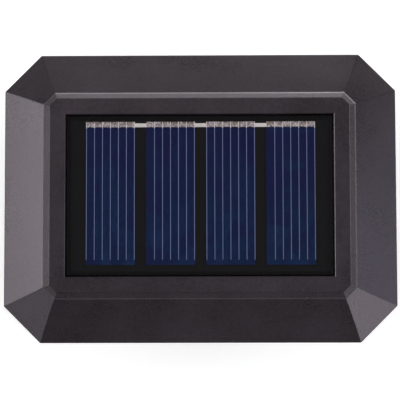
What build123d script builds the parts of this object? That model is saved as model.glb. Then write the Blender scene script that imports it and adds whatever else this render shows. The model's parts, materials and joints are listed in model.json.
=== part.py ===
from build123d import *

import os
from math import cos, pi, sin, sqrt

# Solar post light: a cut-cornered roof with a four-cell solar module, a fluted lens band inside a cage,
# a core that holds the battery and the driver, and a sleeve that goes over the top of a fence post.
# Millimetres, +Z up, +X along the long side, -Y is the front. The origin is the centre of the sleeve's
# lower rim.

os.makedirs("parts", exist_ok=True)

# Post and sleeve
post_length = 75.0
post_width = 50.0
post_gap = 0.5
post_corner = 2.0
sleeve_wall = 2.2
sleeve_depth = 30.0
bead_height = 3.0
bead_proud = 1.0
bead_radius = 0.6
post_screw_radius = 2.1
post_screw_spacing = 50.0
post_screw_height = 10.0

# Deck and plinth
seat_width = 4.5
deck_recess = 4.0
deck_thickness = 2.0
plinth_wall = 2.3
plinth_drop = 7.0
plinth_lip = 3.0
plinth_edge = 0.8
gusset = 1.4
gusset_pitch = 22.0

# Lens, cage and reflector plates
lens_length = 84.0
lens_width = 55.0
lens_corner_cut = 7.5
lens_wall = 2.0
lens_height = 23.5
flute_pitch = 2.0
flute_depth = 0.7
lens_seal_thickness = 0.8
cage_gap = 0.3
cage_wall = 2.2
cage_foot = 5.0
cage_head = 5.5
cage_bar = 3.0
cage_post = 1.5
cage_edge = 0.5
cage_fit = 0.2
cage_play = 0.3
ceiling_thickness = 1.5
floor_thickness = 1.0
plate_gap = 0.3

# Roof
roof_length = 110.0
roof_width = 81.0
roof_corner_cut = 10.25
roof_wall = 2.0
fascia_height = 5.0
fascia_overlap = 2.5
skirt_run = 12.1
skirt_rise = 10.0
rim_bevel_run = 1.85
rim_rise = 2.0
rim_step_run = 0.4
rim_step_rise = 0.5
rim_width = 4.35
hip_radius = 0.7
rim_radius = 0.3
pocket_edge = 0.2
pocket_floor = 1.8
collar_wall = 1.8
roof_rib = 1.2
roof_rib_step = 1.5
roof_rib_pitch = 24.0

# Solar module
window_recess = 0.8
panel_gap = 0.2
window_thickness = 1.0
window_lip = 1.2
window_edge = 0.25
board_thickness = 1.6
gasket_thickness = 1.0
gasket_width = 4.0
cell_count = 4
cell_gap = 3.0
cell_left_margin = 5.25
cell_right_margin = 4.75
cell_head_margin = 2.0
cell_foot_margin = 3.0
cell_thickness = 0.3
cell_air = 0.25
ribbon_width = 1.4
jumper_width = 1.1
ribbon_thickness = 0.2
ribbon_tail = 0.5
finger_pitch = 2.19
finger_width = 0.2
finger_thickness = 0.05
finger_margin = 1.4

# Battery, bay and contacts
battery_radius = 7.25
battery_length = 50.5
battery_nub_radius = 2.75
battery_nub_height = 1.2
battery_edge = 0.6
battery_rise = 6.2
bay_gap = 0.4
bay_head_gap = 0.35
contact_thickness = 0.4
contact_width = 9.0
contact_height = 11.0
contact_tail_width = 2.0
contact_tail_reach = 2.8
contact_slot_gap = 0.3
spring_wire = 0.7
spring_base_radius = 4.2
spring_tip_radius = 2.8
spring_turns = 4
spring_room = 7.7
spring_gap = 0.05

# Core
core_wall = 1.5
screw_tube_radius = 3.3
shaft_wall = 1.2

# Screws
screw_radius = 1.5
screw_hole_gap = 0.25
screw_thread_gap = 0.05
screw_head_radius = 2.75
screw_head_height = 2.0
screw_end_room = 0.75
screw_side_room = 0.95
screw_grip = 6.0
drive_slot = 0.7
drive_reach = 1.6
drive_depth = 1.0
board_screw_radius = 1.0
board_screw_head_radius = 1.75
board_screw_head_height = 1.1
board_screw_grip = 2.2
board_screw_inset = 3.5

# Circuit board and what it carries
circuit_end_gap = 1.5
circuit_thickness = 1.2
circuit_gap = 0.35
circuit_post_radius = 2.2
circuit_post_height = 1.2
led_radius = 2.5
led_flange_radius = 2.9
led_flange = 1.0
led_barrel = 6.1
led_lift = 0.1
led_hole_gap = 0.1
led_x = 16.0
led_leg = 0.5
led_leg_spacing = 2.54
led_leg_back = 1.5
chip_length = 4.0
chip_width = 1.8
chip_height = 3.2
chip_x = -3.0
chip_leg_pitch = 1.0
chip_leg_length = 1.0
chip_leg_width = 0.4
choke_radius = 1.7
choke_length = 7.0
choke_inset = 13.5
choke_band_radius = 1.95
choke_band_length = 1.6
choke_lift = 0.6
choke_leg_radius = 0.3
choke_leg_reach = 2.2

# Leads
lead_radius = 0.6
lead_bend = 2.0
lead_hole_gap = 1.0
panel_lead_x = -20.0
panel_lead_y = 2.0
panel_lead_spacing = 2.4
panel_lead_jog = 5.0

# Slide switch
switch_x = 0.0
switch_y = 15.5
switch_length = 8.6
switch_width = 4.2
switch_height = 4.4
switch_floor = 0.5
switch_travel = 2.0
knob_length = 2.0
knob_width = 2.0
knob_tip_rise = 1.2
carriage_length = 3.6
carriage_width = 2.8
carriage_height = 1.2
switch_gap = 0.2
carriage_gap = 0.05
switch_rib = 1.0
switch_rib_height = 2.6
switch_rib_gap = 0.1
terminal_width = 0.9
terminal_thickness = 0.5
terminal_height = 3.0
terminal_pitch = 2.6
switch_lead_bend = 1.8

# Battery door
door_thickness = 1.8
door_corner = 1.5
door_margin = 0.6
door_seal_thickness = 1.0
door_seal_width = 1.6
door_end_gap = 1.2
knuckle_radius = 1.6
knuckle_length = 7.0
knuckle_x = 16.0
knuckle_gap = 0.2
hinge_gap = 0.5
hinge_deck_gap = 0.4
pin_radius = 0.7
pin_fit = 0.02
pin_clearance = 0.05
ear_thickness = 2.4
cradle_x = 13.0
cradle_thickness = 1.6
cradle_half_width = 4.0
cradle_gap = 0.3
snap_y = 6.5
snap_length = 3.0
snap_nib = 0.6
snap_nib_height = 0.6
snap_bump = 0.5
snap_bump_height = 0.8
grip_height = 0.4
grip_width = 1.0
grip_pitch = 2.4
grip_count = 3
grip_length = 14.0
grip_y = 6.0

# Heights, from the foot up
seat_z = sleeve_depth
deck_under_z = seat_z + deck_recess
deck_top_z = deck_under_z + deck_thickness
plinth_foot_z = deck_top_z - plinth_drop
plinth_top_z = deck_top_z + plinth_lip
lens_bottom_z = deck_top_z + lens_seal_thickness
lens_top_z = lens_bottom_z + lens_height
ceiling_z = lens_top_z + lens_seal_thickness
boss_foot_z = ceiling_z + ceiling_thickness
fascia_foot_z = boss_foot_z - fascia_overlap
eave_z = fascia_foot_z + fascia_height
rim_foot_z = eave_z + skirt_rise
rim_step_z = rim_foot_z + rim_step_rise
rim_top_z = rim_foot_z + rim_rise
window_top_z = rim_top_z - window_recess
window_under_z = window_top_z - window_thickness
board_top_z = window_under_z - cell_air - ribbon_thickness - cell_thickness
board_under_z = board_top_z - board_thickness
pocket_z = board_under_z - gasket_thickness
pocket_under_z = pocket_z - pocket_floor
battery_z = deck_top_z + battery_rise
bay_ceiling_z = battery_z + battery_radius + bay_head_gap
circuit_post_z = bay_ceiling_z + core_wall
circuit_z = circuit_post_z + circuit_post_height
circuit_top_z = circuit_z + circuit_thickness
led_z = circuit_top_z + led_flange_radius + led_lift
door_top_z = deck_under_z - door_seal_thickness
door_under_z = door_top_z - door_thickness
hinge_z = deck_under_z - hinge_deck_gap - knuckle_radius

# Plan sizes that several pieces share
socket_length = post_length + 2 * post_gap
socket_width = post_width + 2 * post_gap
sleeve_length = socket_length + 2 * sleeve_wall
sleeve_width = socket_width + 2 * sleeve_wall
sleeve_corner = post_corner + sleeve_wall
bay_length = battery_length + spring_room + 2 * contact_thickness
bay_width = 2 * (battery_radius + bay_gap)
core_length = bay_length + 2 * core_wall
core_width = bay_width + 2 * core_wall
contact_x = bay_length / 2 - contact_thickness
battery_x = contact_x - battery_length
circuit_length = bay_length - 2 * circuit_end_gap
circuit_width = bay_width - 2 * circuit_gap
board_screw_x = circuit_length / 2 - board_screw_inset
choke_x = circuit_length / 2 - choke_inset
door_length = bay_length + 2 * (2 * door_margin + door_seal_width)
door_width = bay_width + 2 * (2 * door_margin + door_seal_width)
recess_length = door_length + 2 * door_end_gap
recess_width = socket_width - 2 * seat_width
screw_x = recess_length / 2 - screw_head_radius - screw_end_room
screw_y = recess_width / 2 - screw_head_radius - screw_side_room
hinge_y = -(door_width / 2 + hinge_gap + knuckle_radius)
shaft_length = switch_length + 2 * (switch_rib_gap + switch_rib) + 2 * shaft_wall
shaft_reach = switch_y + switch_width / 2 + switch_rib + shaft_wall

on_floor = (Align.CENTER, Align.CENTER, Align.MIN)
hung = (Align.CENTER, Align.CENTER, Align.MAX)


def grow(outline, by):
    """Move a cut-cornered outline outwards by the same distance on all eight sides."""
    length, width, cut = outline
    return length + 2 * by, width + 2 * by, cut + by * (2 - sqrt(2))


def cut_cornered(outline, mode=Mode.ADD):
    """Draw a rectangle with its four corners cut at 45 degrees in the open sketch."""
    length, width, cut = outline
    x = length / 2
    y = width / 2
    Polygon(
        (x, cut - y),
        (x, y - cut),
        (x - cut, y),
        (cut - x, y),
        (-x, y - cut),
        (-x, cut - y),
        (cut - x, -y),
        (x - cut, -y),
        mode=mode,
    )


def keep(builder, name):
    """Label a finished piece and write it to its own file."""
    builder.part.label = name
    export_step(builder.part, f"parts/{name}.step")


def level(z):
    """The horizontal plane at a height."""
    return Plane.XY.offset(z)


def screw_places():
    """The four places where a long screw goes from the deck up into the roof."""
    return GridLocations(2 * screw_x, 2 * screw_y, 2, 2)


def core_plan(margin=0.0):
    """Draw the core's footprint in the open sketch, wider by a margin on all sides."""
    Rectangle(core_length + 2 * margin, core_width + 2 * margin)
    with GridLocations(2 * screw_x, 0, 2, 1):
        Rectangle(2 * (core_wall + margin), 2 * screw_y)
    with screw_places():
        Circle(screw_tube_radius + margin)
    with Locations((switch_x, 0)):
        Rectangle(shaft_length + 2 * margin, shaft_reach + margin, align=(Align.CENTER, Align.MIN))


roof_outline = (roof_length, roof_width, roof_corner_cut)
rim_foot_outline = grow(roof_outline, -skirt_run)
rim_step_outline = grow(rim_foot_outline, -rim_step_run)
rim_top_outline = grow(rim_foot_outline, -rim_bevel_run)
lens_outline = (lens_length, lens_width, lens_corner_cut)
lens_inner = grow(lens_outline, -lens_wall)
cage_inner = grow(lens_outline, cage_gap)
cage_outline = grow(cage_inner, cage_wall)
collar_inner = grow(cage_outline, cage_fit)
collar_outline = grow(collar_inner, collar_wall)
plinth_outline = grow(cage_outline, cage_fit + plinth_wall)
pocket_length = rim_top_outline[0] - 2 * rim_width
pocket_width = rim_top_outline[1] - 2 * rim_width
panel_length = pocket_length - 2 * panel_gap
panel_width = pocket_width - 2 * panel_gap
cell_pitch = (panel_length - cell_left_margin - cell_right_margin + cell_gap) / cell_count
cell_width = cell_pitch - cell_gap
cell_top_y = panel_width / 2 - cell_head_margin
cell_foot_y = cell_foot_margin - panel_width / 2
first_cell_x = cell_left_margin + cell_width / 2 - panel_length / 2
cell_xs = [first_cell_x + i * cell_pitch for i in range(cell_count)]

# Roof cavity: the hollow under the skin, less the collar, bosses, ribs and pocket that stand in it
skin_run = roof_wall * sqrt(skirt_run**2 + skirt_rise**2) / skirt_rise
cavity_eave_z = eave_z - (skin_run - roof_wall) * skirt_rise / skirt_run
cavity_top_z = rim_top_z - roof_wall
cavity_foot = grow(roof_outline, -roof_wall)
cavity_top_run = skin_run + (cavity_top_z - eave_z) * skirt_run / skirt_rise
cavity_top = grow(roof_outline, -cavity_top_run)
cavity_height = cavity_top_z - fascia_foot_z
with BuildPart() as roof_cavity:
    with BuildSketch(level(fascia_foot_z)):
        cut_cornered(cavity_foot)
    extrude(amount=cavity_eave_z - fascia_foot_z)
    with BuildSketch(level(cavity_eave_z)):
        cut_cornered(cavity_foot)
    with BuildSketch(level(cavity_top_z)):
        cut_cornered(cavity_top)
    loft(ruled=True)
    with BuildSketch(level(fascia_foot_z)):
        cut_cornered(collar_outline)
        cut_cornered(collar_inner, mode=Mode.SUBTRACT)
    extrude(amount=cavity_height, mode=Mode.SUBTRACT)
    with BuildSketch(level(boss_foot_z)):
        cut_cornered(collar_outline)
        cut_cornered(cage_inner, mode=Mode.SUBTRACT)
    extrude(amount=cavity_height, mode=Mode.SUBTRACT)
    with BuildSketch(level(pocket_under_z)):
        Rectangle(pocket_length + 2 * roof_wall, pocket_width + 2 * roof_wall)
    extrude(amount=cavity_height, mode=Mode.SUBTRACT)
    with BuildSketch(level(boss_foot_z)):
        with screw_places():
            Circle(screw_tube_radius)
    extrude(amount=cavity_height, mode=Mode.SUBTRACT)
    with BuildSketch(level(fascia_foot_z + roof_rib_step)):
        with GridLocations(roof_rib_pitch, 0, 4, 1):
            Rectangle(roof_rib, roof_width)
        with GridLocations(0, roof_rib_pitch, 1, 2):
            Rectangle(roof_length, roof_rib)
        cut_cornered(grow(collar_outline, -collar_wall / 2), mode=Mode.SUBTRACT)
    extrude(amount=cavity_height, mode=Mode.SUBTRACT)

# Roof shell: fascia, skirt and bevelled rim, hollow below, with the pocket for the solar module on top
with BuildPart() as roof_shell:
    with BuildSketch(level(fascia_foot_z)):
        cut_cornered(roof_outline)
    extrude(amount=fascia_height)
    with BuildSketch(level(eave_z)):
        cut_cornered(roof_outline)
    with BuildSketch(level(rim_foot_z)):
        cut_cornered(rim_foot_outline)
    loft(ruled=True)
    with BuildSketch(level(rim_foot_z)):
        cut_cornered(rim_foot_outline)
    with BuildSketch(level(rim_step_z)):
        cut_cornered(rim_step_outline)
    loft(ruled=True)
    with BuildSketch(level(rim_step_z)):
        cut_cornered(rim_step_outline)
    with BuildSketch(level(rim_top_z)):
        cut_cornered(rim_top_outline)
    loft(ruled=True)
    skirt_edges = roof_shell.edges().filter_by_position(Axis.Z, fascia_foot_z, rim_foot_z - hip_radius)
    fillet(skirt_edges, hip_radius)
    fillet(roof_shell.edges().group_by(Axis.Z)[-1], rim_radius)
    add(roof_cavity.part, mode=Mode.SUBTRACT)
    with BuildSketch(level(pocket_z)):
        Rectangle(pocket_length, pocket_width)
    extrude(amount=rim_top_z - pocket_z, mode=Mode.SUBTRACT)
    rim_face = roof_shell.faces().filter_by(Axis.Z).sort_by(Axis.Z)[-1]
    chamfer(rim_face.inner_wires()[0].edges(), pocket_edge)
    with BuildSketch(level(boss_foot_z)):
        with screw_places():
            Circle(screw_radius + screw_thread_gap)
    extrude(amount=screw_grip + 2 * screw_thread_gap, mode=Mode.SUBTRACT)
    with BuildSketch(level(pocket_under_z)):
        with Locations((panel_lead_x, panel_lead_y + panel_lead_jog)):
            SlotOverall(
                panel_lead_spacing + 2 * (lead_radius + lead_hole_gap),
                2 * (lead_radius + lead_hole_gap),
            )
    extrude(amount=pocket_floor, mode=Mode.SUBTRACT)
keep(roof_shell, "roof_shell")

# Solar module: window, board, cells, collector lines, ribbon and the gasket under the board
with BuildPart() as panel_window:
    with BuildSketch(level(board_top_z)):
        Rectangle(panel_length, panel_width)
    extrude(amount=window_top_z - board_top_z)
    with BuildSketch(level(board_top_z)):
        Rectangle(panel_length - 2 * window_lip, panel_width - 2 * window_lip)
    extrude(amount=window_under_z - board_top_z, mode=Mode.SUBTRACT)
    chamfer(panel_window.faces().sort_by(Axis.Z)[-1].edges(), window_edge)
keep(panel_window, "panel_window")

with BuildPart() as panel_board:
    with BuildSketch(level(board_under_z)):
        Rectangle(panel_length, panel_width)
    extrude(amount=board_thickness)
keep(panel_board, "panel_board")

with BuildPart() as panel_gasket:
    with BuildSketch(level(pocket_z)):
        Rectangle(panel_length, panel_width)
        Rectangle(panel_length - 2 * gasket_width, panel_width - 2 * gasket_width, mode=Mode.SUBTRACT)
    extrude(amount=gasket_thickness)
keep(panel_gasket, "panel_gasket")

for number, cell_x in enumerate(cell_xs, start=1):
    with BuildPart(level(board_top_z)) as solar_cell:
        with Locations((cell_x, cell_foot_y)):
            Box(
                cell_width,
                cell_top_y - cell_foot_y,
                cell_thickness,
                align=(Align.CENTER, Align.MIN, Align.MIN),
            )
    keep(solar_cell, f"solar_cell_{number}")

cell_face_z = board_top_z + cell_thickness
ribbon_foot_y = cell_top_y - ribbon_width
with BuildPart() as tab_ribbon:
    with BuildSketch(level(cell_face_z)):
        with Locations(*[(x, cell_top_y - ribbon_width / 2) for x in cell_xs]):
            Rectangle(cell_width, ribbon_width)
        with Locations((cell_xs[0], ribbon_foot_y)):
            Rectangle(
                cell_xs[-1] - cell_xs[0] + cell_width / 2 + ribbon_tail,
                jumper_width,
                align=(Align.MIN, Align.MIN),
            )
    extrude(amount=ribbon_thickness)
keep(tab_ribbon, "tab_ribbon")

finger_room = cell_width - finger_width
finger_count = int(finger_room / finger_pitch) + 1
finger_length = ribbon_foot_y - cell_foot_y - finger_margin
with BuildPart() as cell_fingers:
    with BuildSketch(level(cell_face_z)):
        for number, cell_x in enumerate(cell_xs):
            skipped = number % 2
            last_x = cell_x + (finger_count - 1) / 2 * finger_pitch
            places = [(last_x - i * finger_pitch, ribbon_foot_y) for i in range(finger_count - skipped)]
            with Locations(*places):
                Rectangle(finger_width, finger_length, align=(Align.CENTER, Align.MAX))
    extrude(amount=finger_thickness)
keep(cell_fingers, "cell_fingers")

# Lens band with upright grooves on its inner face, and the rubber strips at its two edges
groove_side = flute_depth * sqrt(2)
flutes_long = int((lens_inner[0] - 2 * lens_inner[2]) / flute_pitch)
flutes_short = int((lens_inner[1] - 2 * lens_inner[2]) / flute_pitch)
with BuildPart() as lens_band:
    with BuildSketch(level(lens_bottom_z)):
        cut_cornered(lens_outline)
        cut_cornered(lens_inner, mode=Mode.SUBTRACT)
        with GridLocations(flute_pitch, lens_inner[1], flutes_long, 2):
            Rectangle(groove_side, groove_side, rotation=45, mode=Mode.SUBTRACT)
        with GridLocations(lens_inner[0], flute_pitch, 2, flutes_short):
            Rectangle(groove_side, groove_side, rotation=45, mode=Mode.SUBTRACT)
    extrude(amount=lens_height)
keep(lens_band, "lens_band")

for seal_z, seal_name in ((deck_top_z, "lens_seal_lower"), (lens_top_z, "lens_seal_upper")):
    with BuildPart() as lens_seal:
        with BuildSketch(level(seal_z)):
            cut_cornered(lens_outline)
            cut_cornered(lens_inner, mode=Mode.SUBTRACT)
        extrude(amount=lens_seal_thickness)
    keep(lens_seal, seal_name)

# Cage round the lens: corner posts, two bars on each long side and one on each short side
cage_top_z = boss_foot_z - cage_play
pane_height = cage_top_z - cage_head - deck_top_z - cage_foot
pane_z = deck_top_z + cage_foot
panes_long = cage_outline[0] - 2 * (cage_outline[2] + cage_post)
panes_short = cage_outline[1] - 2 * (cage_outline[2] + cage_post)
pane_long = (panes_long - 2 * cage_bar) / 3
pane_short = (panes_short - cage_bar) / 2
with BuildPart() as lens_cage:
    with BuildSketch(level(deck_top_z)):
        cut_cornered(cage_outline)
        cut_cornered(cage_inner, mode=Mode.SUBTRACT)
    extrude(amount=cage_top_z - deck_top_z)
    with BuildSketch(level(pane_z)):
        with GridLocations(pane_long + cage_bar, 0, 3, 1):
            Rectangle(pane_long, cage_outline[1])
        with GridLocations(0, pane_short + cage_bar, 1, 2):
            Rectangle(cage_outline[0], pane_short)
    extrude(amount=pane_height, mode=Mode.SUBTRACT)
    for axis in (Axis.X, Axis.Y):
        for end in (0, -1):
            pane_edges = lens_cage.faces().filter_by(axis).sort_by(axis)[end].inner_wires().edges()
            chamfer(pane_edges, cage_edge)
keep(lens_cage, "lens_cage")

# Core housing: battery bay below, board room above, screw tubes at the corners and the switch shaft
core_height = ceiling_z - deck_top_z
board_room = ceiling_z - circuit_post_z
shaft_inner = shaft_length - 2 * shaft_wall
shaft_depth = shaft_reach - shaft_wall - core_width / 2
with BuildPart() as core_housing:
    with BuildSketch(level(deck_top_z)):
        core_plan()
    extrude(amount=core_height)
    with BuildSketch(level(deck_top_z)):
        Rectangle(bay_length, bay_width)
    extrude(amount=bay_ceiling_z - deck_top_z, mode=Mode.SUBTRACT)
    with BuildSketch(level(circuit_post_z)):
        Rectangle(bay_length, bay_width)
        with Locations((switch_x, 0)):
            Rectangle(shaft_inner, core_width / 2 + shaft_depth, align=(Align.CENTER, Align.MIN))
    extrude(amount=board_room, mode=Mode.SUBTRACT)
    with BuildSketch(level(deck_top_z)):
        with Locations((switch_x, core_width / 2)):
            Rectangle(shaft_inner, shaft_depth, align=(Align.CENTER, Align.MIN))
    extrude(amount=core_height, mode=Mode.SUBTRACT)
    with BuildSketch(level(circuit_post_z)):
        with GridLocations(2 * board_screw_x, 0, 2, 1):
            Circle(circuit_post_radius)
    extrude(amount=circuit_post_height)
    with BuildSketch(level(circuit_z)):
        with GridLocations(2 * board_screw_x, 0, 2, 1):
            Circle(board_screw_radius + screw_thread_gap)
    extrude(amount=-board_screw_grip - screw_thread_gap, mode=Mode.SUBTRACT)
    with BuildSketch(level(deck_top_z)):
        with screw_places():
            Circle(screw_radius + screw_hole_gap)
    extrude(amount=core_height, mode=Mode.SUBTRACT)
    with BuildSketch(Plane.XZ.offset(-core_width / 2)):
        with Locations((-led_x, led_z), (led_x, led_z)):
            Circle(led_radius + led_hole_gap)
    extrude(amount=core_width, mode=Mode.SUBTRACT)
    with BuildSketch(level(bay_ceiling_z)):
        with GridLocations(bay_length - contact_thickness - contact_slot_gap, 0, 2, 1):
            Rectangle(contact_thickness + contact_slot_gap, contact_tail_width + 2 * contact_slot_gap)
    extrude(amount=core_wall, mode=Mode.SUBTRACT)
keep(core_housing, "core_housing")

# White reflector plates above and below the light chamber
with BuildPart() as ceiling_plate:
    with BuildSketch(level(ceiling_z)):
        cut_cornered(lens_outline)
        with screw_places():
            Circle(screw_radius + screw_hole_gap, mode=Mode.SUBTRACT)
        with Locations((panel_lead_x, panel_lead_y)):
            SlotOverall(
                panel_lead_spacing + 2 * (lead_radius + lead_hole_gap),
                2 * (lead_radius + lead_hole_gap),
                mode=Mode.SUBTRACT,
            )
    extrude(amount=ceiling_thickness)
keep(ceiling_plate, "ceiling_plate")

with BuildPart() as floor_plate:
    with BuildSketch(level(deck_top_z)):
        cut_cornered(grow(lens_inner, -plate_gap))
    extrude(amount=floor_thickness)
    with BuildSketch(level(deck_top_z)):
        core_plan(plate_gap)
    extrude(amount=floor_thickness, mode=Mode.SUBTRACT)
keep(floor_plate, "floor_plate")

# Circuit board, its two screws, the driver chip and the wound choke
with BuildPart() as circuit_board:
    with BuildSketch(level(circuit_z)):
        Rectangle(circuit_length, circuit_width)
        with GridLocations(2 * board_screw_x, 0, 2, 1):
            Circle(board_screw_radius + screw_hole_gap, mode=Mode.SUBTRACT)
    extrude(amount=circuit_thickness)
keep(circuit_board, "circuit_board")

with BuildPart(level(circuit_top_z)) as board_screws:
    with GridLocations(2 * board_screw_x, 0, 2, 1):
        Cylinder(board_screw_head_radius, board_screw_head_height, align=on_floor)
        Cylinder(board_screw_radius, circuit_thickness + board_screw_grip, align=hung)
keep(board_screws, "board_screws")

with BuildPart(level(circuit_top_z)) as driver_chip:
    with Locations((chip_x, 0, chip_leg_length)):
        Box(chip_length, chip_width, chip_height, align=on_floor)
    with Locations((chip_x, 0)):
        with GridLocations(chip_leg_pitch, 0, 4, 1):
            Box(chip_leg_width, chip_leg_width, chip_leg_length, align=on_floor)
keep(driver_chip, "driver_chip")

choke_z = circuit_top_z + choke_lift + choke_band_radius
with BuildPart() as choke_coil:
    with Locations((choke_x, 0, choke_z)):
        Cylinder(choke_radius, choke_length, rotation=(0, 90, 0))
        with GridLocations(choke_length - choke_band_length, 0, 2, 1):
            Cylinder(choke_band_radius, choke_band_length, rotation=(0, 90, 0))
    with GridLocations(choke_length + 2 * choke_leg_reach, 0, 2, 1):
        with Locations((choke_x, 0, circuit_top_z)):
            Cylinder(choke_leg_radius, choke_z - circuit_top_z + choke_leg_radius, align=on_floor)
    with Locations((choke_x, 0, choke_z)):
        Cylinder(choke_leg_radius, choke_length + 2 * choke_leg_reach, rotation=(0, 90, 0))
keep(choke_coil, "choke_coil")

# Four lamps that look out through the long walls of the core
led_seat_y = bay_width / 2
for side, side_name in ((-1, "front"), (1, "back")):
    for place, place_name in ((-led_x, "left"), (led_x, "right")):
        lamp_plane = Plane(
            origin=(place, side * led_seat_y, led_z), x_dir=(-side, 0, 0), z_dir=(0, side, 0)
        )
        with BuildPart(lamp_plane) as led:
            Cylinder(led_flange_radius, led_flange, align=hung)
            Cylinder(led_radius, led_barrel, align=on_floor)
            with Locations((0, 0, led_barrel)):
                Sphere(led_radius)
            with Locations((0, 0, -led_flange)):
                with GridLocations(led_leg_spacing, 0, 2, 1):
                    Box(led_leg, led_leg, led_leg_back, align=hung)
            with Locations((0, led_leg / 2, -led_flange - led_leg_back)):
                with GridLocations(led_leg_spacing, 0, 2, 1):
                    Box(
                        led_leg,
                        led_z - circuit_top_z + led_leg / 2,
                        led_leg,
                        align=(Align.CENTER, Align.MAX, Align.MAX),
                    )
        keep(led, f"led_{side_name}_{place_name}")

# Slide switch: a body that sits on the deck, a knob that comes down through it, three terminals
slot_length = knob_length + switch_travel + 2 * switch_gap
slot_width = knob_width + 2 * switch_gap
rest_x = switch_x - switch_travel / 2
with BuildPart(level(deck_top_z)) as switch_body:
    with Locations((switch_x, switch_y)):
        Box(switch_length, switch_width, switch_height, align=on_floor)
        Box(slot_length, slot_width, switch_floor, align=on_floor, mode=Mode.SUBTRACT)
    with Locations((switch_x, switch_y, switch_floor)):
        Box(
            carriage_length + switch_travel + 2 * switch_gap,
            carriage_width + 2 * switch_gap,
            carriage_height + 2 * carriage_gap,
            align=on_floor,
            mode=Mode.SUBTRACT,
        )
keep(switch_body, "switch_body")

with BuildPart(level(deck_top_z + switch_floor + carriage_gap)) as switch_knob:
    with Locations((rest_x, switch_y)):
        Box(carriage_length, carriage_width, carriage_height, align=on_floor)
        Box(
            knob_length,
            knob_width,
            deck_top_z + switch_floor + carriage_gap - seat_z - knob_tip_rise,
            align=hung,
        )
keep(switch_knob, "switch_knob")

with BuildPart(level(deck_top_z + switch_height)) as switch_terminals:
    with Locations((switch_x, switch_y)):
        with GridLocations(terminal_pitch, 0, 3, 1):
            Box(terminal_width, terminal_thickness, terminal_height, align=on_floor)
keep(switch_terminals, "switch_terminals")


def lead(points, bend):
    """A round insulated lead along straight runs with rounded corners."""
    with BuildPart() as wire:
        with BuildLine():
            route = FilletPolyline(*points, radius=bend)
        with BuildSketch(Plane(origin=route @ 0, z_dir=route % 0)):
            Circle(lead_radius)
        sweep(path=route)
    print(f"lead {route.length:.1f} mm long, bends of {bend:.1f} mm")
    return wire.part


terminal_top_z = deck_top_z + switch_height + terminal_height
switch_lead_z = ceiling_z - lead_radius - 2 * lead_hole_gap
switch_pad_y = circuit_width / 2 - 2 * lead_radius
switch_pair = []
for lead_x in (switch_x - terminal_pitch / 2, switch_x + terminal_pitch / 2):
    switch_pair.append(
        lead(
            [
                (lead_x, switch_y, terminal_top_z),
                (lead_x, switch_y, switch_lead_z),
                (lead_x, switch_pad_y, switch_lead_z),
                (lead_x, switch_pad_y, circuit_top_z),
            ],
            switch_lead_bend,
        )
    )
with BuildPart() as switch_leads:
    add(switch_pair)
keep(switch_leads, "switch_leads")

jog_top_z = pocket_under_z - lead_bend
jog_foot_z = boss_foot_z + lead_bend
for lead_side, lead_name in ((-1, "panel_lead_red"), (1, "panel_lead_black")):
    lead_x = panel_lead_x + lead_side * panel_lead_spacing / 2
    with BuildPart() as panel_lead:
        add(
            lead(
                [
                    (lead_x, panel_lead_y + panel_lead_jog, board_under_z),
                    (lead_x, panel_lead_y + panel_lead_jog, jog_top_z),
                    (lead_x, panel_lead_y, jog_foot_z),
                    (lead_x, panel_lead_y, circuit_top_z),
                ],
                lead_bend,
            )
        )
    keep(panel_lead, lead_name)

# Battery and its two end contacts, each with a tail that folds over the end of the circuit board
with BuildPart(Plane.YZ.offset(battery_x)) as battery_cell:
    with Locations((0, battery_z)):
        Cylinder(battery_radius, battery_length - battery_nub_height, align=on_floor)
        fillet(battery_cell.edges().filter_by(GeomType.CIRCLE), battery_edge)
        Cylinder(battery_nub_radius, battery_length, align=on_floor)
keep(battery_cell, "battery_cell")

tail_height = circuit_top_z + contact_thickness - battery_z
for end, end_name in ((-1, "negative"), (1, "positive")):
    with BuildPart() as contact_plate:
        with Locations((end * (bay_length - contact_thickness) / 2, 0, battery_z)):
            Box(contact_thickness, contact_width, contact_height)
            Box(contact_thickness, contact_tail_width, tail_height, align=on_floor)
        with Locations((end * (bay_length - contact_tail_reach) / 2, 0, circuit_top_z)):
            Box(contact_tail_reach, contact_tail_width, contact_thickness, align=on_floor)
    keep(contact_plate, f"contact_plate_{end_name}")

# Coiled contact at the negative end: a wire that climbs in quarter turns and narrows towards the battery
spring_foot_x = -contact_x + spring_wire / 2 + spring_gap
spring_rise = spring_room - spring_wire - 2 * spring_gap
spring_taper = spring_tip_radius - spring_base_radius


def spring_point(turn):
    """A point of the wire's middle line, counted in turns from the plate."""
    radius = spring_base_radius + spring_taper * turn / spring_turns
    angle = 2 * pi * turn
    return Vector(
        spring_foot_x + spring_rise * turn / spring_turns,
        radius * cos(angle),
        battery_z + radius * sin(angle),
    )


def spring_heading(turn):
    """The direction of the wire at that point."""
    radius = spring_base_radius + spring_taper * turn / spring_turns
    angle = 2 * pi * turn
    widening = spring_taper / spring_turns
    return Vector(
        spring_rise / spring_turns,
        widening * cos(angle) - 2 * pi * radius * sin(angle),
        widening * sin(angle) + 2 * pi * radius * cos(angle),
    ).normalized()


def two_arcs(start, heading, end, end_heading):
    """Join two points by two arcs that keep the headings at both ends."""
    chord = end - start
    turn = heading + end_heading
    straightness = 2 * (1 - heading.dot(end_heading))
    along = chord.dot(turn)
    reach = (sqrt(along**2 + straightness * chord.dot(chord)) - along) / straightness
    first_corner = start + heading * reach
    second_corner = end - end_heading * reach
    middle = (first_corner + second_corner) * 0.5
    TangentArc(start, middle, tangent=heading)
    TangentArc(middle, end, tangent=second_corner - first_corner)


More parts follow.
